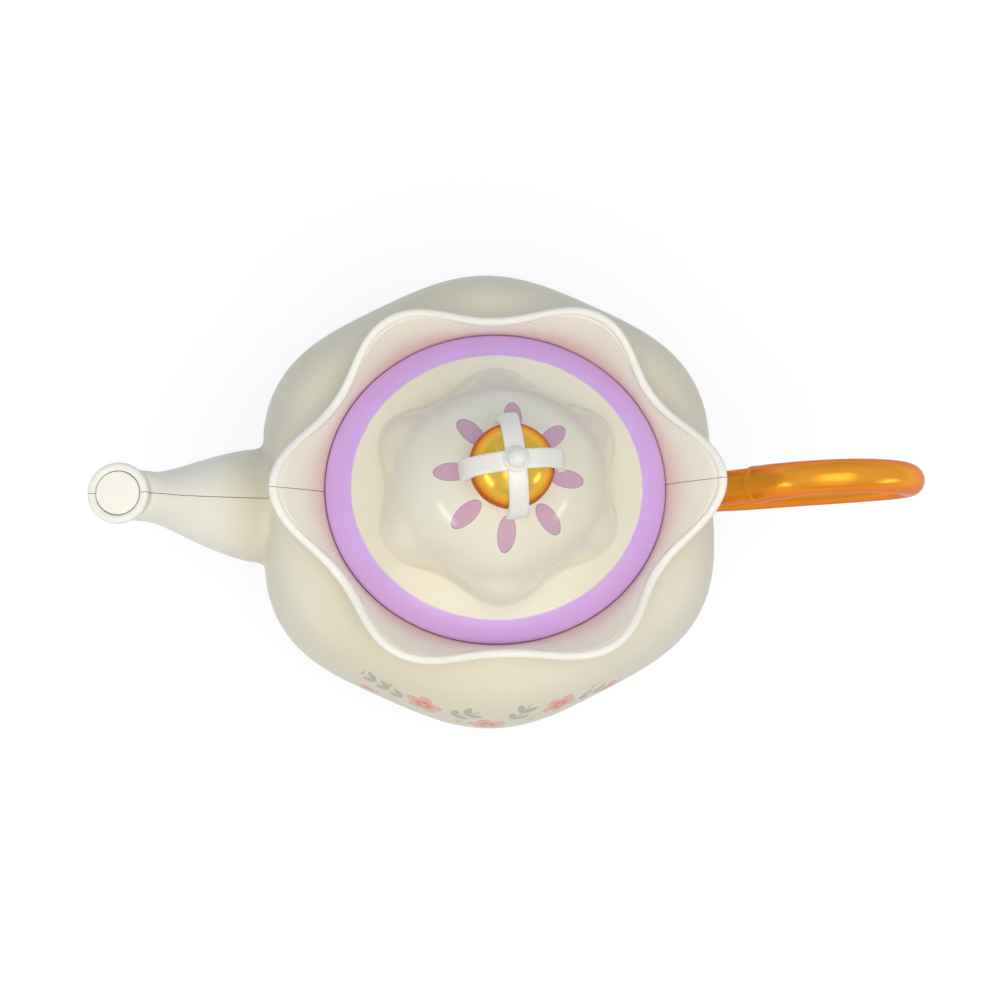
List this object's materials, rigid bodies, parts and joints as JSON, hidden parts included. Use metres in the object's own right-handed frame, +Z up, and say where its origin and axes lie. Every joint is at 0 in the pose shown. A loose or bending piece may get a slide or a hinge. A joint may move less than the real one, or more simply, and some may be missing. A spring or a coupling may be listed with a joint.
{
  "type": "toy teapot",
  "caption": "Lobed oval toy teapot with a wavy flared collar, short curved spout, looped gold handle and a lift-off domed lid topped by a strapped gold ball.",
  "frame": {"origin": "on the floor under the pot's axis, at the middle of the base", "axes": "+Z up, +X towards the handle, -X towards the spout, -Y towards the printed front"},
  "size_m": [0.2261, 0.1306, 0.151],
  "materials": {
    "pearl_white": "glossy cream white with a pearl sheen, pink blush sprayed inside the collar",
    "cream_plastic": "plain moulded cream",
    "bright_white": "plain moulded white",
    "gold_handle": "metallic gold lacquer over plastic",
    "base_plastic": "fine moulded texture",
    "screw_steel": "zinc plated",
    "battery_jacket": "plain printed film",
    "contact_metal": "nickel plated",
    "board_green": "solder mask",
    "black_resin": "satin black",
    "speaker_metal": "pressed steel",
    "speaker_paper": "pressed paper",
    "switch_grey": "plain moulded grey",
    "lid_white": "glossy cream white with a lavender painted band and printed petals",
    "gold_ball": "metallic gold lacquer over plastic",
    "crown_white": "glossy white"
  },
  "bodies": {
    "pot": {"front_shell": "pearl_white", "back_shell": "pearl_white", "inner_bowl": "cream_plastic", "spout_plug": "bright_white", "handle": "gold_handle", "base_plate": "base_plastic", "battery_door": "base_plastic", "battery_door_screw": "screw_steel", "batteries": "battery_jacket", "battery_contacts": "contact_metal", "circuit_board": "board_green", "sound_chip": "black_resin", "speaker_frame": "speaker_metal", "speaker_cone": "speaker_paper", "speaker_screws": "screw_steel", "tilt_switch": "contact_metal", "power_switch": "switch_grey", "shell_screws": "screw_steel", "base_screws": "screw_steel", "board_screws": "screw_steel"},
    "lid": {"lid_shell": "lid_white", "finial_ball": "gold_ball", "finial_crown": "crown_white", "finial_screw": "screw_steel"},
    "slider": {"power_slider": "black_resin"},
    "rolling_ball": {"tilt_ball": "contact_metal"}
  },
  "joints": [
    {"name": "lid_lift", "type": "slide", "parent": "pot", "child": "lid", "axis": [0, 0, 1], "range_m": [0, 0.045]},
    {"name": "power_slide", "type": "slide", "parent": "pot", "child": "slider", "axis": [1, 0, 0], "range_m": [0, 0.004]},
    {"name": "tilt_roll", "type": "slide", "parent": "pot", "child": "rolling_ball", "axis": [-0.9397, 0, 0.342], "range_m": [0, 0.0052]}
  ]
}
